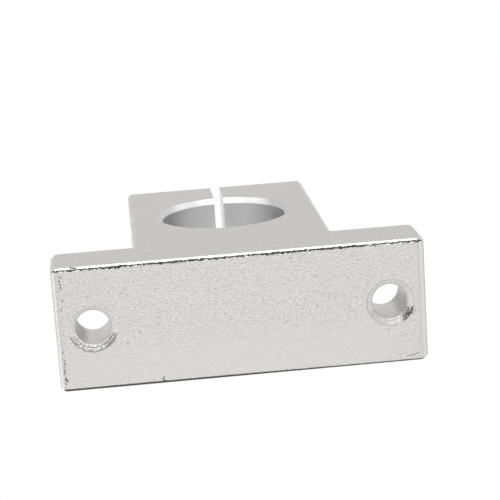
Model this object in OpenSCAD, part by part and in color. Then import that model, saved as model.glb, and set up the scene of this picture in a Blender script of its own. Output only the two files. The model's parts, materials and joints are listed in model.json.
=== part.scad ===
// Clamping support block for a straight round shaft, in millimetres.
// The block stands on its foot: X runs across the foot, Y along the shaft and Z up.
// The origin is the centre of the mounting face under the foot.

/* [Foot] */
// Width across the foot
foot_w = 70; // [64:0.5:100]
// Thickness of the foot
foot_t = 12; // [8:0.5:18]
// Distance from each end of the foot to the centre of its mounting hole
hole_edge = 7; // [6:0.25:9]
// Diameter of the two mounting holes
hole_d = 6.6; // [4.5:0.1:8.4]
// Depth of the 45 degree countersinks at both ends of the mounting holes
hole_chamfer = 1.2; // [0.2:0.1:1.8]

/* [Upright] */
// Width of the upright that carries the shaft
upright_w = 38; // [34:0.5:44]
// Height of the block above the mounting face
block_h = 60; // [58:0.5:72]
// Length of the block along the shaft
block_l = 24; // [16:0.5:50]

/* [Shaft bore] */
// Diameter of the shaft and of the bore that grips it
shaft_d = 25; // [12:0.5:27]
// Height of the shaft's axis above the mounting face
shaft_h = 35; // [24:0.5:37]
// Depth of the 45 degree chamfers at both ends of the bore
bore_chamfer = 1; // [0.2:0.1:2]
// Width of the saw cut from the bore out through the top
slit_w = 2; // [1:0.1:4]

/* [Clamp screw] */
// Thread diameter of the clamp screw
screw_d = 6; // [4:0.5:6.5]
// Length of the clamp screw under its head
screw_l = 25; // [20:1:28]
// Diameter of the round head
head_d = 10; // [8.5:0.5:10.5]
// Height of the round head
head_h = 6; // [4.5:0.1:7]
// Width across the flats of the hexagon socket
socket_af = 5; // [3:0.5:5.5]
// Depth of the hexagon socket
socket_h = 3; // [1.5:0.1:3.6]
// Distance from the top of the block down to the screw's axis
screw_drop = 7; // [6:0.25:7.5]
// Depth of the head's outer face below the side of the block
head_sink = 0.5; // [0:0.1:1.5]

/* [Clearances] */
// Gap all round the head in its counterbore
head_gap = 0.3; // [0.1:0.05:0.5]
// Gap all round the shank in its clearance hole
shank_gap = 0.3; // [0.1:0.05:0.6]
// Gap all round the thread in its tapped hole
thread_gap = 0.05; // [0.02:0.01:0.1]

/* [Edges] */
// Radius of the outer corners along the shaft's direction
corner_r = 1.2; // [1:0.1:3]
// Radius of the two inner corners between foot and upright
fillet_r = 0.6; // [0.4:0.1:3]
// Depth of the 45 degree chamfers round both end faces
edge_chamfer = 0.7; // [0.2:0.1:0.9]
// Depth of the small chamfers at the mouths of the screw's holes
mouth_chamfer = 0.4; // [0.1:0.1:0.6]
// Depth of the small chamfers on the screw's head and tip
screw_chamfer = 0.6; // [0.2:0.1:0.9]

/* [Hidden] */
$fn = 64;

// Every cutter reaches this far past the surface that it opens
over = 0.25;
// Angle of the cone that a drill leaves at the bottom of the hexagon socket
drill_point = 120;

hole_x = foot_w / 2 - hole_edge;
screw_z = block_h - screw_drop;
side_x = upright_w / 2;
seat_x = side_x - head_sink - head_h;
recess_d = head_d + 2 * head_gap;
shank_hole_d = screw_d + 2 * shank_gap;
tapped_d = screw_d + 2 * thread_gap;

// Corners of the end face, anticlockwise in X and Z, each with its radius
outline = [
    [foot_w / 2, 0, corner_r],
    [foot_w / 2, foot_t, corner_r],
    [side_x, foot_t, -fillet_r],
    [side_x, block_h, corner_r],
    [-side_x, block_h, corner_r],
    [-side_x, foot_t, -fillet_r],
    [-foot_w / 2, foot_t, corner_r],
    [-foot_w / 2, 0, corner_r],
];

corners = [0:len(outline) - 1];
function corner(i) = outline[(i + len(outline)) % len(outline)];
function place(i) = [corner(i)[0], corner(i)[1]];
function run(i) = place(i + 1) - place(i);
function heading(i) = atan2(run(i)[1], run(i)[0]);
function outer(i) = corner(i)[2] > 0;
function radius(i) = abs(corner(i)[2]);

// What rounding takes off a square corner at the origin, whose solid lies towards -X and -Y
module round_off(r) {
    translate([-r, -r]) difference() {
        square(r + over);
        circle(r);
    }
}

// What a chamfer takes off the same square corner
module chamfer_off(c) {
    polygon([[-c - over, over], [over, over], [over, -c - over]]);
}

// What a fillet adds to a square inner corner at the origin, which is open towards +X and +Y
module fill_in(r) {
    difference() {
        square(r);
        translate([r, r]) circle(r);
    }
}

// Puts an outer corner at corner i: its solid lies towards -X and +Y
module at_outer(i) {
    translate(place(i)) rotate(heading(i - 1)) children();
}

// Puts an inner corner at corner i: it is open towards +X and +Y
module at_inner(i) {
    translate(place(i)) rotate(heading(i - 1) - 180) children();
}

// The end face as a flat outline
module end_face() {
    difference() {
        polygon([for (i = corners) place(i)]);
        for (i = corners) if (outer(i)) at_outer(i) mirror([0, 1]) round_off(radius(i));
    }
    for (i = corners) if (!outer(i)) at_inner(i) fill_in(radius(i));
}

// What is milled off the edge between an end face and one straight side of the outline
module straight_edge(i) {
    straight = norm(run(i)) - radius(i) - radius(i + 1);
    translate(place(i)) rotate(heading(i)) translate([radius(i), 0, 0])
    rotate([90, 0, 90]) linear_extrude(straight) mirror([1, 0]) chamfer_off(edge_chamfer);
}

// The same round an outer corner
module outer_edge(i) {
    r = radius(i);
    at_outer(i) translate([-r, r, 0]) rotate(-90)
    rotate_extrude(angle = 90) translate([r, 0]) chamfer_off(edge_chamfer);
}

// The same round an inner corner
module inner_edge(i) {
    r = radius(i);
    at_inner(i) translate([r, r, 0]) rotate(180)
    rotate_extrude(angle = 90) translate([r, 0]) mirror([1, 0]) chamfer_off(edge_chamfer);
}

// The T-shaped bar, cut to length and chamfered round both cut ends
module bar() {
    rotate([90, 0, 0]) difference() {
        linear_extrude(block_l, center = true) end_face();
        for (side = [0, 1]) mirror([0, 0, side]) translate([0, 0, block_l / 2]) for (i = corners) {
            straight_edge(i);
            if (outer(i)) outer_edge(i); else inner_edge(i);
        }
    }
}

// A hole along Z from 0 to h, opened at both ends by 45 degree chamfers
module chamfered_hole(d, h, chamfer) {
    translate([0, 0, -over]) cylinder(d = d, h = h + 2 * over);
    for (side = [0, 1]) translate([0, 0, side * h]) mirror([0, 0, side])
        mouth(d, chamfer);
}

// The chamfer of a hole whose mouth is at Z = 0 and which runs towards +Z
module mouth(d, chamfer) {
    translate([0, 0, -over])
    cylinder(d1 = d + 2 * (chamfer + over), d2 = d, h = chamfer + over);
}

// The bore for the shaft, and the saw cut that lets it close
module shaft_bore() {
    translate([0, block_l / 2, shaft_h]) rotate([90, 0, 0])
    chamfered_hole(shaft_d, block_l, bore_chamfer);
    translate([-slit_w / 2, -block_l / 2 - over, shaft_h])
    cube([slit_w, block_l + 2 * over, block_h - shaft_h + over]);
}

// The mounting holes through the foot
module mounting_holes() {
    for (side = [-1, 1]) translate([side * hole_x, 0, 0])
        chamfered_hole(hole_d, foot_t, hole_chamfer);
}

// The counterbore and clearance hole on the head's side of the slit, and the tapped hole beyond it
module screw_holes() {
    translate([0, 0, screw_z]) rotate([0, 90, 0]) {
        translate([0, 0, seat_x]) cylinder(d = recess_d, h = side_x - seat_x + over);
        translate([0, 0, side_x]) mirror([0, 0, 1]) mouth(recess_d, mouth_chamfer);
        cylinder(d = shank_hole_d, h = seat_x + over);
        translate([0, 0, -side_x - over]) cylinder(d = tapped_d, h = side_x + 2 * over);
        translate([0, 0, -side_x]) mouth(tapped_d, mouth_chamfer);
    }
}

// The block is one piece of aluminium
module support_block() {
    color("#c8c8c6")
    difference() {
        bar();
        shaft_bore();
        mounting_holes();
        screw_holes();
    }
}

// A hexagon socket head cap screw, with its head's seat in the counterbore
module clamp_screw() {
    color("#3a3a3c")
    translate([seat_x, 0, screw_z]) rotate([0, 90, 0]) {
        difference() {
            rotate_extrude() polygon([
                [0, -screw_l],
                [screw_d / 2 - screw_chamfer, -screw_l],
                [screw_d / 2, screw_chamfer - screw_l],
                [screw_d / 2, 0],
                [head_d / 2, 0],
                [head_d / 2, head_h - screw_chamfer],
                [head_d / 2 - screw_chamfer, head_h],
                [0, head_h],
            ]);
            translate([0, 0, head_h - socket_h]) hex_socket();
        }
    }
}

// The hexagon socket, with its floor at Z = 0 and a drilled cone below it
module hex_socket() {
    drill_r = socket_af / 2;
    cylinder(d = socket_af / cos(30), h = socket_h + over, $fn = 6);
    translate([0, 0, -drill_r / tan(drill_point / 2)])
    cylinder(r1 = 0, r2 = drill_r, h = drill_r / tan(drill_point / 2));
}

support_block();
clamp_screw();
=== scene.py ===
import json
import math

import bmesh
import bpy
from mathutils import Matrix, Vector


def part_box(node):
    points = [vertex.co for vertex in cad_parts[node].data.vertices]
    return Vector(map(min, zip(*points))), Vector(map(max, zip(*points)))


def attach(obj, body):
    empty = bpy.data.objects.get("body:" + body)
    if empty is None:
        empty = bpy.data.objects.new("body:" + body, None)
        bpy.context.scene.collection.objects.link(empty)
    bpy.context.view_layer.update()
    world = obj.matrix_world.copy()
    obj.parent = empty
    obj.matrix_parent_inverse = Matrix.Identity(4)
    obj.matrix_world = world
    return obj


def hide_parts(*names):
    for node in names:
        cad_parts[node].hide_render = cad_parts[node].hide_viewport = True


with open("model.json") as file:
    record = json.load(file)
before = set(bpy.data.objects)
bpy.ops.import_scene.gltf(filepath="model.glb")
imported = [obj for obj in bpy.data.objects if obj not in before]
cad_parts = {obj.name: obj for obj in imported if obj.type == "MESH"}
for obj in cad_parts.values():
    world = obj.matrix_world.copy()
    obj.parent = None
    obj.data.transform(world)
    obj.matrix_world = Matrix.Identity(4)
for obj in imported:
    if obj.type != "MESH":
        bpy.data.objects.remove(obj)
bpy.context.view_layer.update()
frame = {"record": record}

MM = 0.001
TURN = 2 * math.pi

# ---------------------------------------------------------------- sizes, in millimetres

block_low, block_high = (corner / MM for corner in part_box("support_block"))
screw_low, screw_high = (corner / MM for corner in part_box("clamp_screw"))
mounts = {mount["name"]: mount for mount in frame["record"]["mounts"]}

# every cutter reaches this far past the surface that it opens
over = 0.25

foot_width = block_high.x - block_low.x
foot_end = foot_width / 2
foot_thickness = 12
block_length = block_high.y - block_low.y
end_y = block_length / 2
block_height = block_high.z
upright_width = 38
side_x = upright_width / 2

# the long edges, which are worn unevenly
foot_corner_radius = 1.2
worn_corner_radius = 1.7
shoulder_radius = 1.7
top_corner_radius = 0.82
inner_corner_radius = 0.6
corner_steps = 8

# the chamfer round each sawn end, with the rim where the mounting face meets it
edge_chamfer = 0.7
edge_break = 0.1
rim_y = end_y - edge_chamfer

bore_height = mounts["shaft_bore"]["pos_m"][2] / MM
bore_radius = mounts["shaft_bore"]["dims"]["r_mm"]
bore_chamfer = 1
bore_sides = 144
slit_width = 2

hole_x = mounts["foot_bolts"]["dims"]["spacing_x_mm"] / 2
hole_radius = mounts["foot_bolts"]["dims"]["hole_r_mm"]
hole_sides = 72
hole_break = 0.08
countersink_depth = 1.2
mouth_radius = hole_radius + countersink_depth
countersink_rings = 3
ring_depth = 0.02

screw_axis = (screw_low.z + screw_high.z) / 2
screw_tip = screw_low.x
head_face = screw_high.x
head_height = 6
head_seat = head_face - head_height
head_radius = (screw_high.z - screw_low.z) / 2
head_chamfer = 0.6
head_edge = 0.3
head_sides = 240
knurl_teeth = 40
knurl_depth = 0.14

socket_flats = 5
socket_corner = socket_flats / 2 / math.cos(math.radians(30))
socket_depth = 3
socket_chamfer = 0.2
socket_sides = 48
drill_radius = socket_flats / 2 - 0.2
drill_slope = math.tan(math.radians(60))  # half the angle of the drill's point

# the root of each ridge lies a little inside the metal that it stands on or is cut into
thread_pitch = 1
thread_crest = 3
thread_core = 2.42
thread_root = thread_core - 0.02
thread_start = screw_tip + 0.5
thread_turns = 23
thread_sides = 40
crest_half_width = thread_pitch / 16
flank_slope = math.tan(math.radians(30))
tip_chamfer = 0.1

# the holes of the screw; the tapped thread starts a turn outside and ends at the slit
head_gap = 0.3
recess_radius = head_radius + head_gap
clearance_radius = 3.3
tapped_radius = 3.05
tapped_core = 2.5
tapped_root = tapped_core - 0.05
tapped_play = 0.04
tapped_start = -side_x - thread_pitch
tapped_turns = 19
mouth_chamfer = 0.4


# ---------------------------------------------------------------- node trees as plain arithmetic

def pick(sockets, key):
    """The socket with that number, or the first one in use with that name."""
    if isinstance(key, int):
        return sockets[key]
    return next(socket for socket in sockets if socket.name == key and socket.enabled)


class Wire:
    """One output of a node; arithmetic on it adds the Math nodes."""

    def __init__(self, tree, socket):
        self.tree = tree
        self.socket = socket

    def math(self, operation, *values):
        return self.tree.node("ShaderNodeMath", {"operation": operation}, dict(enumerate(values)))

    def __add__(self, other):
        return self.math("ADD", self, other)

    def __radd__(self, other):
        return self.math("ADD", other, self)

    def __sub__(self, other):
        return self.math("SUBTRACT", self, other)

    def __rsub__(self, other):
        return self.math("SUBTRACT", other, self)

    def __mul__(self, other):
        return self.math("MULTIPLY", self, other)

    def __rmul__(self, other):
        return self.math("MULTIPLY", other, self)

    def __truediv__(self, other):
        return self.math("DIVIDE", self, other)

    def __mod__(self, other):
        return self.math("MODULO", self, other)

    def __abs__(self):
        return self.math("ABSOLUTE", self)

    def sign(self):
        return self.math("SIGN", self)

    def floor(self):
        return self.math("FLOOR", self)

    def cos(self):
        return self.math("COSINE", self)

    def sin(self):
        return self.math("SINE", self)

    def root(self):
        return self.math("SQRT", self)

    def least(self, other):
        return self.math("MINIMUM", self, other)

    def most(self, other):
        return self.math("MAXIMUM", self, other)

    def below(self, other):
        """1 where this is less than the other, and 0 elsewhere."""
        return self.math("LESS_THAN", self, other)

    def step(self, start, end):
        """0 up to start, 1 from end on, a soft slope between; also with end below start."""
        return self.tree.node(
            "ShaderNodeMapRange", {"interpolation_type": "SMOOTHSTEP"},
            {"Value": self, "From Min": start, "From Max": end},
        )

    def parts(self):
        """The three numbers of a vector."""
        split = self.tree.node("ShaderNodeSeparateXYZ", {}, {"Vector": self})
        return [split.beside(axis) for axis in "XYZ"]

    def beside(self, output):
        """Another output of the same node."""
        return Wire(self.tree, pick(self.socket.node.outputs, output))


class Tree:
    """A node tree; node() adds one node, its settings first and then its sockets."""

    def __init__(self, nodes_of):
        self.nodes_of = nodes_of

    def feed(self, socket, value):
        """Links a wire to a socket, or sets the socket's own value."""
        if isinstance(value, Wire):
            self.nodes_of.links.new(value.socket, socket)
        else:
            socket.default_value = value

    def node(self, kind, settings=None, inputs=None, out=None):
        made = self.nodes_of.nodes.new(kind)
        for name, value in (settings or {}).items():
            setattr(made, name, value)
        for key, value in (inputs or {}).items():
            socket = pick(made.inputs, key)
            for one in value if isinstance(value, list) else [value]:
                self.feed(socket, one)
        if not made.outputs:
            return None
        live = next(socket for socket in made.outputs if socket.enabled)
        return Wire(self, live if out is None else pick(made.outputs, out))

    def vector(self, x, y, z):
        return self.node("ShaderNodeCombineXYZ", {}, {"X": x, "Y": y, "Z": z})

    def scaled(self, vector, factor):
        settings = {"operation": "SCALE"}
        return self.node("ShaderNodeVectorMath", settings, {0: vector, "Scale": factor})

    def moved(self, vector, offset):
        return self.node("ShaderNodeVectorMath", {"operation": "ADD"}, {0: vector, 1: offset})

    def mix(self, factor, a, b, kind="FLOAT"):
        settings = {"data_type": kind, "clamp_factor": False}
        return self.node("ShaderNodeMix", settings, {"Factor": factor, "A": a, "B": b})


# ---------------------------------------------------------------- Geometry Nodes recipes

SIZE, COUNT, FINISH = "NodeSocketFloat", "NodeSocketInt", "NodeSocketMaterial"

# points closer than these are one point: along a seam, and anywhere else
SEAM = 1e-4
DOUBLED = 1e-5


def new_recipe(name, inputs):
    """A Geometry Nodes tree, and a wire for each of its named inputs."""
    group = bpy.data.node_groups.new(name, "GeometryNodeTree")
    for label, kind in {"Drawing": "NodeSocketGeometry", **inputs, "Finish": FINISH}.items():
        group.interface.new_socket(label, in_out="INPUT", socket_type=kind)
    group.interface.new_socket("Solid", in_out="OUTPUT", socket_type="NodeSocketGeometry")
    tree = Tree(group)
    first = tree.node("NodeGroupInput", out="Drawing")
    return tree, {label: first.beside(label) for label in ["Drawing", *inputs, "Finish"]}


def end_recipe(tree, geometry, finish):
    """Every recipe ends in plain mesh with its material on it."""
    real = tree.node("GeometryNodeRealizeInstances", {}, {"Geometry": geometry})
    dressed = tree.node("GeometryNodeSetMaterial", {}, {"Geometry": real, "Material": finish})
    tree.node("NodeGroupOutput", {}, {"Solid": dressed})
    return tree.nodes_of


def note(tree, name, kind="FLOAT"):
    """A note that the drawing keeps at its points."""
    return tree.node("GeometryNodeInputNamedAttribute", {"data_type": kind}, {"Name": name})


def sample(tree, drawn, value, index, kind="FLOAT"):
    """The value at one numbered point of a drawing."""
    return tree.node("GeometryNodeSampleIndex", {"data_type": kind}, {
        "Geometry": drawn, "Value": value, "Index": index})


def point(tree, drawn, index):
    """The place of one numbered point of a drawing."""
    position = tree.node("GeometryNodeInputPosition")
    return sample(tree, drawn, position, index, "FLOAT_VECTOR")


def point_count(tree, drawn, component):
    return tree.node("GeometryNodeAttributeDomainSize", {"component": component}, {
        "Geometry": drawn}, "Point Count")


def drawing(name, points, closed, **notes):
    """A line drawing in millimetres, with notes kept at each of its points."""
    mesh = bpy.data.meshes.new(name)
    last = len(points) - 1
    lines = [(i, i + 1) for i in range(last)] + ([(last, 0)] if closed else [])
    mesh.from_pydata([spot if len(spot) == 3 else (*spot, 0) for spot in points], lines, [])
    for label, values in notes.items():
        kind = "FLOAT_VECTOR" if isinstance(values[0], tuple) else "FLOAT"
        layer = mesh.attributes.new(label, kind, "POINT")
        field = "value" if kind == "FLOAT" else "vector"
        for item, value in zip(layer.data, values):
            setattr(item, field, value)
    return mesh


def make(recipe, name, drawn, sizes, place=Matrix()):
    """Runs a recipe on a drawing and gives the plain mesh object, put in its place."""
    piece = bpy.data.objects.new(name, drawn)
    bpy.context.scene.collection.objects.link(piece)
    modifier = piece.modifiers.new("Recipe", "NODES")
    modifier.node_group = recipe
    for item in recipe.interface.items_tree:
        if item.in_out == "INPUT" and item.name in sizes:
            modifier[item.identifier] = sizes[item.name]
    settle(piece)
    piece.data.transform(place)
    face_outwards(piece.data)
    return piece


def settle(piece):
    """Turns what a piece's modifiers make into its own mesh."""
    depsgraph = bpy.context.evaluated_depsgraph_get()
    made = bpy.data.meshes.new_from_object(
        piece.evaluated_get(depsgraph), preserve_all_data_layers=True, depsgraph=depsgraph
    )
    piece.modifiers.clear()
    piece.data = made
    while made.materials and made.materials[0] is None:
        made.materials.pop(index=0)


def face_outwards(mesh):
    """Joins doubled points and turns every face outwards."""
    shell = bmesh.new()
    shell.from_mesh(mesh)
    bmesh.ops.remove_doubles(shell, verts=shell.verts, dist=DOUBLED)
    bmesh.ops.dissolve_degenerate(shell, edges=shell.edges, dist=DOUBLED / 10)
    bmesh.ops.recalc_face_normals(shell, faces=shell.faces)
    shell.to_mesh(mesh)
    shell.free()


def bar_recipe():
    """A bar with rounded long corners, and at both sawn ends a chamfer with broken edges."""
    tree, given = new_recipe("chamfered_bar", {
        "Length": SIZE, "Chamfer": SIZE, "Edge break": SIZE, "Corner steps": COUNT,
    })
    chamfer, broken = given["Chamfer"], given["Edge break"]

    def outline(inset):
        """The outline as a curve, moved into the metal by inset."""
        inward = tree.scaled(note(tree, "inward", "FLOAT_VECTOR"), inset)
        moved = tree.node("GeometryNodeSetPosition", {}, {
            "Geometry": given["Drawing"], "Offset": inward})
        curve = tree.node("GeometryNodeMeshToCurve", {}, {"Mesh": moved})
        radius = note(tree, "radius") + inset * note(tree, "side")
        return tree.node("GeometryNodeFilletCurve", {"mode": "POLY"}, {
            "Curve": curve, "Count": given["Corner steps"], "Radius": radius})

    def choose(index, values):
        """The one of the values that has that number."""
        chosen = tree.nodes_of.nodes.new("GeometryNodeIndexSwitch")
        chosen.data_type = "FLOAT"
        while len(chosen.index_switch_items) < len(values):
            chosen.index_switch_items.new()
        for socket, value in zip(chosen.inputs, [index, *values]):
            tree.feed(socket, value)
        return Wire(tree, chosen.outputs[0])

    # from the flat of the end to the side of the bar: how far in from the side, and how far
    # below the end; a broken edge is an arc of three points
    half_right = math.sqrt(0.5)
    arc_in, arc_below = 0.076, 0.184
    section = [
        (chamfer + broken, 0.0),
        (chamfer + arc_in * broken, arc_below * broken),
        (chamfer - half_right * broken, half_right * broken),
    ]
    section += [(below, inset) for inset, below in reversed(section)]
    levels = section + section[::-1]

    full, cut = outline(0.0), outline(chamfer)
    around = point_count(tree, full, "CURVE")
    grid = tree.node("GeometryNodeMeshGrid", {}, {
        "Vertices X": around + 1, "Vertices Y": len(levels)}, "Mesh")
    index = tree.node("GeometryNodeInputIndex")
    level = index % len(levels)
    ring = (index / len(levels)).floor() % around
    inset = choose(level, [inset for inset, below in levels])
    below = choose(level, [below for inset, below in levels])
    x, y, _ = tree.mix(
        inset / chamfer, point(tree, full, ring), point(tree, cut, ring), "VECTOR").parts()
    which_end = level.below(len(section)) * 2 - 1
    z = which_end * (given["Length"] / 2 - below)
    shell = tree.node("GeometryNodeSetPosition", {}, {
        "Geometry": grid, "Position": tree.vector(x, y, z)})
    flat = tree.node("GeometryNodeFillCurve", {"mode": "NGONS"}, {
        "Curve": outline(chamfer + broken)})
    ends = [
        tree.node("GeometryNodeTransform", {}, {
            "Geometry": flat, "Translation": tree.vector(0.0, 0.0, given["Length"] * half)})
        for half in (0.5, -0.5)
    ]
    joined = tree.node("GeometryNodeJoinGeometry", {}, {"Geometry": [shell, *ends]})
    closed = tree.node("GeometryNodeMergeByDistance", {}, {"Geometry": joined, "Distance": SEAM})
    return end_recipe(tree, closed, given["Finish"])


def turned_recipe():
    """A solid turned from a profile of radius and height, with waves round it where asked."""
    tree, given = new_recipe("turned", {"Sides": COUNT, "Waves": COUNT, "Wave depth": SIZE})
    profile, sides = given["Drawing"], given["Sides"]
    rows = point_count(tree, profile, "MESH")
    grid = tree.node("GeometryNodeMeshGrid", {}, {
        "Vertices X": sides + 1, "Vertices Y": rows}, "Mesh")
    index = tree.node("GeometryNodeInputIndex")
    angle = (index / rows).floor() * TURN / sides
    row = index % rows
    radius, height, _ = point(tree, profile, row).parts()
    wave = sample(tree, profile, note(tree, "wavy"), row)
    cut = wave * given["Wave depth"] * (0.5 - 0.5 * (angle * given["Waves"]).cos())
    bent = (radius - cut).most(0.0)
    solid = tree.node("GeometryNodeSetPosition", {}, {
        "Geometry": grid, "Position": tree.vector(bent * angle.cos(), bent * angle.sin(), height)})
    closed = tree.node("GeometryNodeMergeByDistance", {}, {
        "Geometry": solid, "Distance": DOUBLED})
    return end_recipe(tree, closed, given["Finish"])


def thread_recipe():
    """One ridge of a right-hand thread: its section swept up a helix, run out at both ends."""
    tree, given = new_recipe("thread", {
        "Pitch": SIZE, "Turns": SIZE, "Root radius": SIZE, "Steps a turn": COUNT, "Run out": SIZE,
    })
    helix = tree.node("GeometryNodeCurveSpiral", {}, {
        "Resolution": given["Steps a turn"], "Rotations": given["Turns"],
        "Start Radius": given["Root radius"], "End Radius": given["Root radius"],
        "Height": given["Pitch"] * given["Turns"]})
    upright = tree.node("GeometryNodeSetCurveNormal", {"mode": "Z_UP"}, {"Curve": helix})
    along = tree.node("GeometryNodeSplineParameter", {}, {}, "Factor") * given["Turns"]
    from_end = along.least(given["Turns"] - along)
    thinnest = 0.02
    grown = (from_end / given["Run out"]).most(thinnest).least(1.0)
    tapered = tree.node("GeometryNodeSetCurveRadius", {}, {"Curve": upright, "Radius": grown})
    section = tree.node("GeometryNodeMeshToCurve", {}, {"Mesh": given["Drawing"]})
    ridge = tree.node("GeometryNodeCurveToMesh", {}, {
        "Curve": tapered, "Profile Curve": section, "Scale": grown, "Fill Caps": True})
    return end_recipe(tree, ridge, given["Finish"])


def bites_recipe():
    """Ragged lumps strung along a path at random; as a cutter they leave chips in a rim."""
    tree, given = new_recipe("bites", {
        "Lumps": COUNT, "Least size": SIZE, "Most size": SIZE, "Stray": SIZE, "Seed": COUNT,
    })

    def chance(low, high, key, kind="FLOAT"):
        """A number for each lump; every key is a draw of its own."""
        return tree.node("FunctionNodeRandomValue", {"data_type": kind}, {
            "Min": low, "Max": high, "Seed": given["Seed"] * 10 + key})

    path = tree.node("GeometryNodeMeshToCurve", {}, {"Mesh": given["Drawing"]})
    strung = tree.node("GeometryNodeCurveToPoints", {"mode": "COUNT"}, {
        "Curve": path, "Count": given["Lumps"]}, "Points")
    aside = chance((-1.0, -1.0, 0.0), (1.0, 1.0, 0.0), 1, "FLOAT_VECTOR")
    loose = tree.node("GeometryNodeSetPosition", {}, {
        "Geometry": strung, "Offset": tree.scaled(aside, given["Stray"])})

    # mostly small lumps, a little longer than they are wide or deep, and turned any way round
    mostly_small = chance(0.0, 1.0, 2) * chance(0.0, 1.0, 3)
    size = tree.mix(mostly_small, given["Least size"], given["Most size"])
    length, width, depth = (
        size * chance(low, high, key)
        for low, high, key in ((0.8, 1.7, 4), (0.6, 1.0, 5), (0.5, 0.9, 6)))
    turn = chance((-0.5, -0.5, -3.1), (0.5, 0.5, 3.1), 7, "FLOAT_VECTOR")
    ball = tree.node("GeometryNodeMeshIcoSphere", {}, {"Radius": 1.0, "Subdivisions": 2}, "Mesh")
    placed = tree.node("GeometryNodeInstanceOnPoints", {}, {
        "Points": loose, "Instance": ball, "Rotation": turn,
        "Scale": tree.vector(length, width, depth)})
    joined = tree.node("GeometryNodeMeshBoolean", {
        "operation": "UNION", "solver": "MANIFOLD"}, {1: placed}, "Mesh")

    # their surface pushed in and out at random
    lumps_per_mm, push = 6.0, 1.6
    where = tree.node("GeometryNodeInputPosition")
    rough = tree.node("ShaderNodeTexNoise", {}, {
        "Vector": where, "Scale": lumps_per_mm, "Detail": 1.0}, "Color")
    either_way = tree.moved(rough, (-0.5, -0.5, -0.5))
    ragged = tree.node("GeometryNodeSetPosition", {}, {
        "Geometry": joined, "Offset": tree.scaled(either_way, given["Least size"] * push)})
    return end_recipe(tree, ragged, given["Finish"])


# ---------------------------------------------------------------- finishes

ALUMINIUM = (1.0, 0.985, 0.965, 1)
CLEAN_CUT = (1.0, 0.996, 0.996, 1)
COLD_OXIDE = (0.05, 0.052, 0.058, 1)
WARM_OXIDE = (0.07, 0.064, 0.06, 1)
BLACK = (0, 0, 0, 1)
WHITE = (1, 1, 1, 1)

# how much of the light each kind of face gives back, apart from its grain
SKIN = 0.606
SAWN_END = 0.5
CHAMFER = 0.66
BEND = 0.55
BORE = 0.79
BORE_MOUTH = 0.66
SLIT = 0.8
HOLE_WALL = 0.55
COUNTERSINK_UPPER = 0.83
COUNTERSINK_LOWER = 0.88
CHIP = 0.15

# the distances between the skin's rolled lines, and between the marks of a chattering tool
ROLLED_PITCH = 0.55
CHATTER_PITCH = 0.42


def new_finish(name):
    """An empty material, its tree, and the place on the piece in millimetres."""
    material = bpy.data.materials.new(name)
    material.use_nodes = True
    material.node_tree.nodes.clear()
    tree = Tree(material.node_tree)
    metres = tree.node("ShaderNodeTexCoord", out="Object")
    return material, tree, tree.scaled(metres, 1 / MM)


def noise(tree, place, across, seed, detail=2.0):
    """Soft noise round 0.5, in lumps so many millimetres across: one width, or one an axis."""
    if not isinstance(across, tuple):
        across = (across, across, across)
    settings = {"operation": "DIVIDE"}
    stretched = tree.node("ShaderNodeVectorMath", settings, {0: place, 1: across})
    moved = tree.moved(stretched, (seed, seed, seed))
    return tree.node("ShaderNodeTexNoise", {}, {
        "Vector": moved, "Scale": 1.0, "Detail": detail}, "Fac")


def specks(tree, place, apart, size, share, seed):
    """1 in round specks: places so far apart, and a speck on that share of them."""
    moved = tree.moved(tree.scaled(place, 1 / apart), (seed, seed, seed))
    cell = tree.node("ShaderNodeTexVoronoi", {}, {"Vector": moved, "Scale": 1.0}, "Distance")
    drawn = tree.node("ShaderNodeSeparateColor", {}, {"Color": cell.beside("Color")})
    here = drawn.beside("Red").step(share, share - 0.02)
    reach = (0.4 + 0.9 * drawn.beside("Green")) * (size / apart)
    return here * (cell / reach).step(1.0, 0.5)


def metal(material, tree, tone, tint, roughness, height, depth, metallic=0.97):
    """Bare metal: tone is the light it gives back, height lifts it by up to depth millimetres."""
    shader = tree.node("ShaderNodeBsdfPrincipled", {}, {
        "Base Color": tree.mix(tone, BLACK, tint, "RGBA"),
        "Metallic": metallic, "Roughness": roughness,
        "Normal": tree.node("ShaderNodeBump", {}, {"Distance": depth * MM, "Height": height}),
    })
    tree.node("ShaderNodeOutputMaterial", {}, {"Surface": shader})
    return material


def rim_line_and_painted_shade(tree, place):
    """Dark lines where the mounting face meets the two chamfers: a ragged one at the +Y rim, and
    painted shade on the -Y chamfer.
    """
    x, y, z = place.parts()
    ragged = noise(tree, place, 0.5, seed=21.7, detail=3.0) - 0.5
    loose = noise(tree, place, 3.1, seed=2.3) - 0.5

    # along the +Y rim it lies between two ragged edges, and is thicker in the middle
    down = rim_y - y
    reach_up = 0.32 - 0.5 * ragged
    thicker = 0.03 * x.step(17, 13) * x.step(-14, -8)
    reach_down = -0.04 + thicker + 0.8 * ragged + 0.4 * loose
    upper_dark_line = (down + reach_up).step(-0.02, 0.04) * (down - reach_down).step(0.05, -0.05)

    # along the -Y rim it is painted shade on the chamfer only, and fades towards -X
    up = y + rim_y
    fade = 0.2 * x.step(10, -30)
    lower_painted_shade = (up + 0.1 + fade + 0.3 * ragged).step(0.06, -0.06)
    return (upper_dark_line * z.step(0.6, 0.45)).most(lower_painted_shade * z.step(0.8, 0.7))


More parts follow.
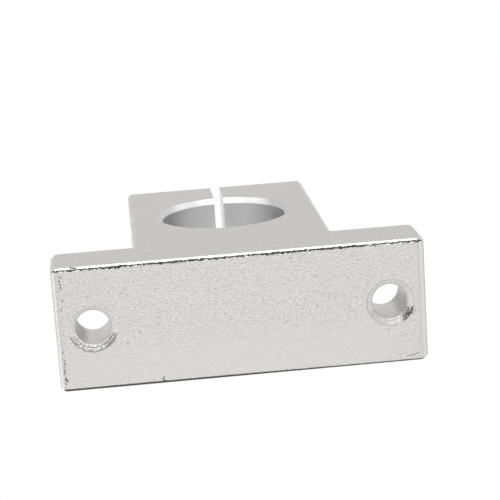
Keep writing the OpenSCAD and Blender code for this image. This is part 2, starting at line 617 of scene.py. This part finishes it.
def blasted_skin():
    """The outside of the block: blasted skin, smoother sawn ends and bright chamfers, with painted
    light and shade on the skin's strokes and painted shade on the -Y chamfer.
    """
    material, tree, place = new_finish("blasted_skin")
    x, y, z = place.parts()

    # where the finishes are
    out = abs(y)
    sawn_end = out.step(end_y - 0.1, end_y - 0.02)
    side = 1 - sawn_end
    chamfered = out.step(rim_y - 0.06, rim_y) * side
    bend_x = worn_corner_radius - foot_end
    bend = x.step(bend_x, bend_x - 0.2) * z.step(1.2, 1)
    rubbed = y.step(-1, -7) * x.step(-32, -24) * z.step(0.5, 0.1)
    # dark lines along the mounting face's rims; the one on the -Y chamfer is painted shade
    burr = rim_line_and_painted_shade(tree, place)

    # the skin's short strokes along the foot, with painted light on each one's +Y side and painted
    # shade in its crease
    ripple = noise(tree, place, (1.2, 0.5, 0.5), seed=3.7)
    above = tree.moved(place, (0.0, 0.06, 0.06))
    stroke, next_stroke = (
        noise(tree, spot, (0.46, 0.19, 0.19), seed=11.3, detail=0.0) for spot in (place, above))
    patch = noise(tree, place, 1.5, seed=29.0, detail=1.0).step(0.35, 0.65)
    unworn = 1 - 0.6 * rubbed
    painted_relief_shading = (stroke - next_stroke).least(0.09) * (0.6 + 0.5 * patch) * unworn
    painted_crease_shade = stroke.step(0.34, 0.2) * patch
    drawn_out = tree.vector(0.4 * x + 0.5 * ripple, y + 0.7 * stroke, z)
    pits = specks(tree, drawn_out, apart=0.9, size=0.16, share=0.13, seed=5.1) * patch

    fine = noise(tree, place, 0.24, seed=7.9)
    cloud = noise(tree, place, 0.8, seed=41.0)
    saw_lines = noise(tree, place, (5.0, 2.0, 0.55), seed=33.0)
    rolled_lines = (x * (TURN / ROLLED_PITCH)).sin().step(-1, -0.4)

    # the strokes' painted light and shade, and painted shade in their creases
    skin_tone = SKIN + 0.01 * (ripple - 0.5) + 0.57 * painted_relief_shading - 0.06 * painted_crease_shade
    sawn_tone = SAWN_END + 0.12 * (cloud - 0.5) + 0.1 * (fine - 0.5) + 0.09 * (saw_lines - 0.5)
    chamfer_tone = CHAMFER - 0.16 * z.step(0.9, 1.4)
    bend_tone = BEND + 0.07 * rolled_lines - 0.15 * x.step(0.5 - foot_end, 0.1 - foot_end)
    tone = tree.mix(sawn_end, skin_tone, sawn_tone)
    tone = tree.mix(chamfered, tone, chamfer_tone)
    tone = tree.mix(bend * side, tone, bend_tone)
    # darker in the pits and along the dark rim lines; on the -Y chamfer that darkening is painted
    # shade
    tone = tone * (1 - 0.45 * pits * side) * (1 - 0.95 * burr)

    skin = 0.04 * ripple + 0.2 * stroke * unworn + 0.05 * fine
    skin_roughness = 0.42 + 0.1 * (skin - 0.5)
    sawn_roughness = 0.36 + 0.06 * (fine - 0.5)
    roughness = tree.mix(sawn_end, skin_roughness, sawn_roughness)
    roughness = tree.mix(chamfered, roughness, 0.3)
    height = tree.mix(sawn_end, skin - 0.3 * pits, 0.05 * fine + 0.05 * saw_lines) - 0.3 * burr
    return metal(material, tree, tone, ALUMINIUM, roughness, height, depth=0.25)


def bored_wall():
    """The bore and its chamfers, with the fine rings that the boring tool leaves."""
    material, tree, place = new_finish("bored_wall")
    x, y, _ = place.parts()
    sideways = abs(x)
    rings = noise(tree, place, (9.0, 0.09, 9.0), seed=4.2, detail=3.0)
    cloud = noise(tree, place, 3.0, seed=8.8)
    mouth_y = end_y - bore_chamfer
    mouth = abs(y).step(mouth_y - 0.05, mouth_y + 0.05)

    wall_tone = BORE + 0.06 * (rings - 0.5) + 0.08 * (cloud - 0.5)
    # painted light: the bore wall is lighter towards +X and -X
    wall_tone = wall_tone + 0.12 * sideways.step(9.5, 12.5)
    # painted light and shade on the chamfers: lighter from about 6 mm out, darker again beyond
    # about 10 mm, and darker still on the -X side
    mouth_tone = BORE_MOUTH + 0.14 * sideways.step(5.5, 8.0) - 0.2 * sideways.step(8.5, 11.0)
    mouth_tone = mouth_tone - 0.06 * x.step(-9, -11)
    tone = tree.mix(mouth, wall_tone, mouth_tone)
    roughness = tree.mix(mouth, 0.3 + 0.1 * (rings - 0.5), 0.42)
    return metal(material, tree, tone, CLEAN_CUT, roughness, height=rings, depth=0.006)


def drilled_wall():
    """The drilled holes and their countersinks, where the tool chattered on the -Y side; the
    countersinks carry painted light and shade.
    """
    material, tree, place = new_finish("drilled_wall")
    x, y, z = place.parts()
    rings = noise(tree, place, (2.5, 2.5, 0.14), seed=6.1, detail=3.0)
    torn_grain = noise(tree, place, 0.35, seed=13.1, detail=3.0)
    streaks = noise(tree, place, (0.4, 0.22, 0.22), seed=27.0, detail=1.0)

    # the place beside its own mounting hole; the hole towards +X is the rougher one
    across = x - x.sign() * hole_x
    radius = (across * across + y * y).root()
    sunk = radius.step(hole_radius + 0.02, hole_radius + 0.08) * z.step(2.0, 1.5)
    lower = y.step(-0.6, -1.8)
    rougher = x.step(-1, 1)

    # what the countersinking tool left: chatter, smeared and gouged metal; beside these, dark lines
    # at the rims, and a painted highlight, the glint, near the inner rim of the +X hole
    chatter = 0.5 + 0.5 * (radius * (TURN / CHATTER_PITCH) + 14 * torn_grain).sin()
    spoilt = lower * chatter.step(0.2, 0.7) * torn_grain.step(0.25, 0.45)
    smear = lower * (across + 0.8 * torn_grain).step(-1.4, -2.4)
    gouge = smear * (1 - rougher) * (torn_grain + 0.15 * radius).step(0.95, 1.15)
    glint = rougher * radius.step(hole_radius + 0.5, hole_radius + 0.3) * torn_grain.step(0.38, 0.5)
    inner_line = radius.step(hole_radius + 0.3, hole_radius + 0.15)
    faint_line = (radius + 0.2 * (torn_grain - 0.5)).step(mouth_radius - 0.2, mouth_radius - 0.12)
    beside_line = (1 - rougher) * across.step(3.2, 4.0) * y.step(2.0, 1.0)
    outer_line = lower.most(beside_line) * (radius + 0.3 * (torn_grain - 0.5)).step(
        mouth_radius - 0.13, mouth_radius - 0.07)

    # the +Y and -Y halves of each countersink have tones of their own, painted light and shade for
    # the way each half faces
    upper_tone = (COUNTERSINK_UPPER + 0.6 * (streaks - 0.5)) * (1 - 0.08 * chatter.step(0.5, 0.9))
    upper_tone = upper_tone * (1 - (0.22 - 0.16 * rougher) * faint_line) * (1 - 0.25 * inner_line)
    # painted highlight: the -Y half of the +X hole is lighter, and the glint keeps it light near
    # the inner rim
    lower_tone = COUNTERSINK_LOWER + 0.12 * rougher
    lower_tone = lower_tone - (0.2 + 0.48 * rougher) * spoilt * (1 - glint)
    shade = (1 - (0.3 + 0.3 * rougher) * outer_line) * (1 - 0.3 * smear * torn_grain.step(0.3, 0.6))
    shade = shade * (1 - 0.75 * gouge)
    wall_tone = HOLE_WALL + 0.5 * (rings - 0.5) + 0.3 * (torn_grain - 0.5)
    tone = tree.mix(sunk, wall_tone, tree.mix(lower, upper_tone, lower_tone) * shade)

    roughness = tree.mix(sunk, 0.3, 0.45)
    metallic = tree.mix(sunk, 0.97, 0.6 * lower)
    height = tree.mix(sunk, 0.8 * rings, lower * chatter + 0.25 * (1 - lower) * torn_grain)
    return metal(material, tree, tone, ALUMINIUM, roughness, height, depth=0.06, metallic=metallic)


def torn_edge():
    """The dull dark inside of a chip or of a burr."""
    material, tree, place = new_finish("torn_edge")
    grain = noise(tree, place, 0.25, seed=5.5, detail=3.0)
    tone = CHIP + 0.4 * grain.step(0.4, 0.65)
    return metal(
        material, tree, tone, ALUMINIUM, roughness=0.6, height=grain, depth=0.05, metallic=0.5)


def sawn_wall():
    """The slit, with the fine scratches of the saw running along it."""
    material, tree, place = new_finish("sawn_wall")
    scratches = noise(tree, place, (2.0, 4.0, 0.08), seed=3.3)
    tone = SLIT + 0.1 * (scratches - 0.5)
    return metal(material, tree, tone, CLEAN_CUT, roughness=0.28, height=scratches, depth=0.006)


def black_oxide():
    """Blackened steel under a thin film of oil: a cast that wanders, and painted shade in the
    socket.
    """
    material, tree, place = new_finish("black_oxide")
    x, y, z = place.parts()
    drop = z - screw_axis
    within = (y * y + drop * drop).root().step(socket_corner + 0.1, socket_corner)
    sunk = x.step(head_face - socket_chamfer, head_face - 0.5)
    painted_socket_shade = within * sunk * x.step(head_seat, head_seat + 1)
    cloud = noise(tree, place, 1.6, seed=1.9)
    grain = noise(tree, place, 0.12, seed=17.0)
    colour = tree.mix(cloud.step(0.35, 0.65), COLD_OXIDE, WARM_OXIDE, "RGBA")
    # painted shade: the inside of the socket is darkened towards black
    colour = tree.mix(0.7 * painted_socket_shade, colour, BLACK, "RGBA")
    shader = tree.node("ShaderNodeBsdfPrincipled", {}, {
        "Base Color": colour, "Metallic": 0.85, "Roughness": 0.34 + 0.14 * (grain - 0.5),
        "Normal": tree.node("ShaderNodeBump", {}, {"Distance": 0.004 * MM, "Height": grain}),
        "Coat Weight": 0.15, "Coat Roughness": 0.15,
    })
    tree.node("ShaderNodeOutputMaterial", {}, {"Surface": shader})
    return material


blasted, bored, drilled, sawn, torn, blackened = (
    blasted_skin(), bored_wall(), drilled_wall(), sawn_wall(), torn_edge(), black_oxide())


# ---------------------------------------------------------------- tools for both pieces

drawn_bar, turned, threaded, bitten = (
    bar_recipe(), turned_recipe(), thread_recipe(), bites_recipe())

# a solid drawn along Z is turned along Y or X
TO_Y = Matrix.Rotation(math.radians(90), 4, "X")
TO_X = Matrix.Rotation(math.radians(90), 4, "Y")

# edges that bend by more than this many degrees stay sharp
CREASE = 28


def at(x, y, z):
    return Matrix.Translation((x, y, z))


def turned_tool(name, profile, sides, finish, place, waves=0, wave_depth=0.0, wavy=None):
    drawn = drawing(name, profile, False, wavy=wavy or [0.0] * len(profile))
    return make(turned, name, drawn, {
        "Sides": sides, "Waves": waves, "Wave depth": wave_depth, "Finish": finish}, place)


def box_tool(name, low, high, finish):
    """A plain box between two corners."""
    mesh = bpy.data.meshes.new(name)
    shell = bmesh.new()
    bmesh.ops.create_cube(shell, size=1)
    size = Vector(high) - Vector(low)
    middle = (Vector(high) + Vector(low)) / 2
    for vert in shell.verts:
        vert.co = Vector(c * s + m for c, s, m in zip(vert.co, size, middle))
    shell.to_mesh(mesh)
    shell.free()
    mesh.materials.append(finish)
    tool = bpy.data.objects.new(name, mesh)
    bpy.context.scene.collection.objects.link(tool)
    return tool


def thread_ridge(name, root, crest, play, start, turns, run_out, finish):
    """A ridge from root to crest radius, along X from start; play widens both its flanks."""
    def half_width(radius):
        return crest_half_width + play + (crest - radius) * flank_slope

    section = [
        (0, -half_width(root)), (crest - root, -half_width(crest)),
        (crest - root, half_width(crest)), (0, half_width(root)),
    ]
    return make(threaded, name, drawing(name, section, True), {
        "Pitch": thread_pitch, "Turns": turns, "Root radius": root,
        "Steps a turn": thread_sides, "Run out": run_out, "Finish": finish,
    }, at(start, 0, screw_axis) @ TO_X)


def cut(piece, tools, operation="DIFFERENCE"):
    """Takes every tool out of the piece, or adds it, and clears the tools away."""
    for tool in tools:
        modifier = piece.modifiers.new(tool.name, "BOOLEAN")
        modifier.operation = operation
        modifier.solver = "MANIFOLD"
        modifier.material_mode = "TRANSFER"
        modifier.object = tool
    settle(piece)
    for tool in tools:
        bpy.data.objects.remove(tool)


def drop_crumbs(piece):
    """Keeps the one big shell, and drops the crumbs that the cuts leave loose."""
    shell = bmesh.new()
    shell.from_mesh(piece.data)
    unseen, shells = set(shell.verts), []
    while unseen:
        found, waiting = set(), [next(iter(unseen))]
        while waiting:
            vert = waiting.pop()
            if vert not in found:
                found.add(vert)
                waiting.extend(edge.other_vert(vert) for edge in vert.link_edges)
        unseen -= found
        shells.append(found)
    shells.sort(key=len)
    for crumb in shells[:-1]:
        bmesh.ops.delete(shell, geom=list(crumb), context="VERTS")
    shell.to_mesh(piece.data)
    shell.free()


def finish_mesh(piece):
    """Shades round faces smooth and flat ones flat, and turns millimetres into metres."""
    piece.data.shade_smooth()
    piece.data.set_sharp_from_angle(angle=math.radians(CREASE))
    modifier = piece.modifiers.new("Flat faces rule", "WEIGHTED_NORMAL")
    modifier.keep_sharp = True
    settle(piece)
    piece.data.transform(Matrix.Scale(MM, 4))


# ---------------------------------------------------------------- the block

def t_outline():
    """The corners of the T, and for each its radius, the way into the metal and its side.

    The side says how the radius changes with that way: 1 at an inner corner, -1 at an outer.
    """
    corners = []
    for end, foot_radius in ((1, foot_corner_radius), (-1, worn_corner_radius)):
        half = [
            ((end * foot_end, 0), (-end, 1, 0), foot_radius, -1.0),
            ((end * foot_end, foot_thickness), (-end, -1, 0), shoulder_radius, -1.0),
            ((end * side_x, foot_thickness), (-end, -1, 0), inner_corner_radius, 1.0),
            ((end * side_x, block_height), (-end, -1, 0), top_corner_radius, -1.0),
        ]
        corners += half[::end]
    points, ways, radii, sides = zip(*corners)
    return drawing("t_outline", points, True, inward=ways, radius=radii, side=sides)


def rounded_bar():
    return make(drawn_bar, "support_block_dressed", t_outline(), {
        "Length": block_length, "Chamfer": edge_chamfer, "Edge break": edge_break,
        "Corner steps": corner_steps, "Finish": blasted,
    }, TO_Y)


def hole_profile(radius, chamfer, length, rings=0):
    """The profile of a hole chamfered at both mouths, with rings cut into the chamfers."""
    face = length / 2
    start, mouth = face - chamfer, radius + chamfer
    eased, just_past = 0.3 * hole_break, 0.002
    half = [(radius, start - hole_break), (radius + eased, start + eased)]
    for ring in range(rings):
        foot, crest = (chamfer * (ring + part) / rings for part in (0.35, 0.85))
        half.append((radius + foot + ring_depth, start + foot - ring_depth))
        if ring < rings - 1:
            half.append((radius + crest, start + crest))
    half += [
        (mouth - eased, face - hole_break), (mouth + hole_break, face + just_past),
        (mouth + hole_break, face + over), (0.0, face + over),
    ]
    return [(out, -along) for out, along in reversed(half)] + half


def bites(name, path, lumps, least, most, stray, seed, finish=torn):
    return make(bitten, name, drawing(name, path, False), {
        "Lumps": lumps, "Least size": least, "Most size": most,
        "Stray": stray, "Seed": seed, "Finish": finish,
    })


def chips():
    """The wear: chips along the mounting face's rims, a scratch, a notch, a nick and a dent."""
    # two lines down the +X end of the mounting face, where it starts to round over
    end_x, lip_x = foot_end - foot_corner_radius, foot_end - 1.7
    wear = [
        # name, path, lumps, least size, most size, stray, seed
        ("rim_chips", [(-34, rim_y + 0.1, 0), (34, rim_y + 0.1, 0)], 90, 0.08, 0.3, 0.09, 3),
        ("low_rim_chips", [(-34, -rim_y, 0), (34, -rim_y, 0)], 30, 0.05, 0.14, 0.06, 4),
        ("end_chips", [(end_x, -10.4, 0), (end_x + 0.05, -5.8, 0)], 16, 0.1, 0.34, 0.16, 5),
        ("more_end_chips", [(end_x, -5, 0), (lip_x, 11, 0)], 26, 0.05, 0.22, 0.24, 6),
        ("corner_chips", [(lip_x, 11.1, 0), (lip_x, 7.6, 0)], 16, 0.08, 0.22, 0.24, 11),
        ("corner_scratch", [(-30.8, -10.8, 0), (-32.4, -10.6, 0), (-33.4, -10.2, 0)],
         16, 0.07, 0.17, 0.05, 12),
        ("notch", [(15.6, -10.65, 0), (15.8, -11.1, 0), (15.2, -11.35, 0)],
         5, 0.18, 0.34, 0.08, 7),
        ("nick", [(31.2, 11.9, 0.55), (30.8, 11.85, 0.5), (30.3, 11.75, 0.4)],
         5, 0.2, 0.32, 0.06, 8),
        ("burr", [(-31.9, -2.4, 0), (-32.2, -2.0, 0), (-32.7, -1.7, 0)],
         5, 0.1, 0.24, 0.1, 9),
        ("side_dent", [(18.6, 11.8, 36.2), (18.7, 11.8, 36.9)], 3, 0.3, 0.4, 0.05, 10, sawn),
    ]
    return [bites(*row) for row in wear]


def support_block():
    """The T-shaped bar with its bore, slit, mounting holes, screw holes and chips."""
    block = rounded_bar()
    bore = turned_tool(
        "shaft_bore", hole_profile(bore_radius, bore_chamfer, block_length), bore_sides, bored,
        at(0, 0, bore_height) @ TO_Y)
    slit = box_tool(
        "slit", (-slit_width / 2, -end_y - over, bore_height),
        (slit_width / 2, end_y + over, block_height + over), sawn)
    hole = hole_profile(hole_radius, countersink_depth, foot_thickness, countersink_rings)
    mounting = [
        turned_tool(
            f"mounting_hole_{name}", hole, hole_sides, drilled, at(x, 0, foot_thickness / 2))
        for name, x in (("left", hole_x), ("right", -hole_x))
    ]
    across = turned_tool("screw_hole", [
        (0, -side_x - over), (tapped_radius + mouth_chamfer + over, -side_x - over),
        (tapped_core, -side_x + mouth_chamfer + tapped_radius - tapped_core),
        (tapped_core, 0), (clearance_radius, 0), (clearance_radius, head_seat),
        (recess_radius, head_seat), (recess_radius, side_x - mouth_chamfer),
        (recess_radius + mouth_chamfer + over, side_x + over), (0, side_x + over),
    ], hole_sides, drilled, at(0, 0, screw_axis) @ TO_X)
    tap = thread_ridge(
        "tapped_thread", tapped_root, tapped_radius, tapped_play,
        tapped_start, tapped_turns, run_out=0.5, finish=drilled)
    cut(block, [bore, slit, *mounting, across, tap])
    cut(block, chips())
    drop_crumbs(block)
    finish_mesh(block)
    return block


# ---------------------------------------------------------------- the clamp screw

def clamp_screw():
    """The hidden socket screw: a knurled head, a hexagon socket and a real thread."""
    place = at(head_seat, 0, screw_axis) @ TO_X
    tip = screw_tip - head_seat
    floor_height = head_height - socket_depth
    above_head = head_height + over
    profile = [
        (0, tip), (thread_core - tip_chamfer, tip), (thread_core, tip + tip_chamfer),
        (thread_core, 0), (head_radius - head_edge, 0), (head_radius, head_edge),
        (head_radius, head_height - head_chamfer),
        (head_radius - head_chamfer, head_height), (0, head_height),
    ]
    knurled = [float(radius == head_radius) for radius, height in profile]
    screw = turned_tool(
        "clamp_screw_dressed", profile, head_sides, blackened, place,
        knurl_teeth, knurl_depth, knurled)
    ridge = thread_ridge(
        "screw_thread", thread_root, thread_crest, 0,
        thread_start, thread_turns, run_out=0.8, finish=blackened)
    hexagon = turned_tool("socket", [
        (0, floor_height), (socket_corner, floor_height),
        (socket_corner, above_head), (0, above_head),
    ], 6, blackened, place)
    drilled_floor = turned_tool("socket_floor", [
        (0, floor_height - drill_radius / drill_slope), (drill_radius, floor_height),
        (drill_radius, floor_height + 1), (0, floor_height + 1),
    ], socket_sides, blackened, place)
    chamfer_start = head_height - socket_chamfer
    mouth = turned_tool("socket_mouth", [
        (0, chamfer_start), (socket_flats / 2, chamfer_start),
        (socket_flats / 2 + socket_chamfer + over, above_head), (0, above_head),
    ], socket_sides, blackened, place)
    cut(screw, [ridge], "UNION")
    cut(screw, [hexagon, drilled_floor, mouth])
    finish_mesh(screw)
    return screw


pieces = (
    (support_block(), "support_block", "blasted_aluminium"),
    (clamp_screw(), "clamp_screw", "blackened_steel"),
)
for piece, node, slot in pieces:
    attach(piece, "root")
    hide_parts(node)

# ---------------------------------------------------------------- stage, light and camera

# in metres, but the floor's fade to white is in millimetres from the origin
floor_half_width = 4.0
floor_gap = 0.0002
fade_start, fade_end = 120, 500
floor_grey = (0.9, 0.9, 0.9, 1)

# how bright the white world is as a light on matt surfaces
world_strength = 0.8

# where the camera is and which way its right and its top point
camera_place = (0.02246, 0.091857, -0.309611)
camera_right = Vector((-0.9934, -0.06376, -0.09532))
camera_up = Vector((-0.08518, 0.96678, 0.24102))
focal_length_mm = 124.48

lamp_target = Vector((0, 0, 0.02))
lamps = [
    # name, place, width, brightness; 1 is as bright as the world
    ("overhead", (0.0, 0.6, -0.12), 0.5, 1.6),
    ("front", (-0.05, -0.2, -0.8), 0.5, 0.3),
    ("key", (0.35, -0.5, 0.6), 0.4, 2),
    ("left_side", (0.7, -0.15, -0.15), 0.4, 1),
    ("right_side", (-0.7, -0.1, -0.15), 0.4, 0.5),
]


def world_light():
    """White where it is seen or mirrored, and softer as a light on matt surfaces."""
    world = bpy.data.worlds.new("studio")
    bpy.context.scene.world = world
    world.use_nodes = True
    world.node_tree.nodes.clear()
    tree = Tree(world.node_tree)
    path = tree.node("ShaderNodeLightPath", out="Is Camera Ray")
    seen = path.most(path.beside("Is Glossy Ray")).most(path.beside("Is Transmission Ray"))
    light = tree.node("ShaderNodeBackground", {}, {
        "Color": WHITE, "Strength": tree.mix(seen, world_strength, 1.0)})
    tree.node("ShaderNodeOutputWorld", {}, {"Surface": light})


def floor():
    """A pale floor that keeps the shadow, fades to white and can't be seen from below."""
    mesh = bpy.data.meshes.new("floor")
    wide, low = floor_half_width, block_low.z * MM - floor_gap
    corners = [(-wide, -wide, low), (wide, -wide, low), (wide, wide, low), (-wide, wide, low)]
    mesh.from_pydata(corners, [], [(0, 1, 2, 3)])
    ground = bpy.data.objects.new("floor", mesh)
    bpy.context.scene.collection.objects.link(ground)
    material, tree, place = new_finish("pale_floor")
    x, y, _ = place.parts()
    far = (x * x + y * y).root().step(fade_start, fade_end)
    matt = tree.node("ShaderNodeBsdfDiffuse", {}, {"Color": floor_grey})
    white = tree.node("ShaderNodeEmission", {}, {"Color": WHITE})
    clear = tree.node("ShaderNodeBsdfTransparent")
    top = tree.node("ShaderNodeMixShader", {}, {"Fac": far, 1: matt, 2: white})
    back = tree.node("ShaderNodeNewGeometry", out="Backfacing")
    both = tree.node("ShaderNodeMixShader", {}, {"Fac": back, 1: top, 2: clear})
    tree.node("ShaderNodeOutputMaterial", {}, {"Surface": both})
    mesh.materials.append(material)
    for rays in ("diffuse", "glossy", "transmission", "shadow"):
        setattr(ground, f"visible_{rays}", False)


def lamp(name, place, width, brightness):
    """A square soft lamp that lights the block but isn't seen itself."""
    data = bpy.data.lights.new(name, "AREA")
    data.shape = "SQUARE"
    data.size = width
    data.energy = brightness * math.pi * width * width
    light = bpy.data.objects.new(name, data)
    bpy.context.scene.collection.objects.link(light)
    light.location = place
    light.rotation_mode = "QUATERNION"
    light.rotation_quaternion = (lamp_target - Vector(place)).to_track_quat("-Z", "Y")
    light.visible_camera = False


def camera():
    """Below and in front of the foot, so that its mounting face fills the view."""
    data = bpy.data.cameras.new("camera")
    data.sensor_width = 36
    data.lens = focal_length_mm
    data.clip_start = 0.01
    eye = bpy.data.objects.new("camera", data)
    bpy.context.scene.collection.objects.link(eye)
    back = camera_right.cross(camera_up).normalized()
    up = back.cross(camera_right).normalized()
    turn = Matrix((camera_right.normalized(), up, back)).transposed().to_4x4()
    eye.matrix_world = Matrix.Translation(camera_place) @ turn
    bpy.context.scene.camera = eye


world_light()
floor()
camera()
for name, place, width, brightness in lamps:
    lamp(name, place, width, brightness)

bpy.context.scene.view_settings.view_transform = "Standard"
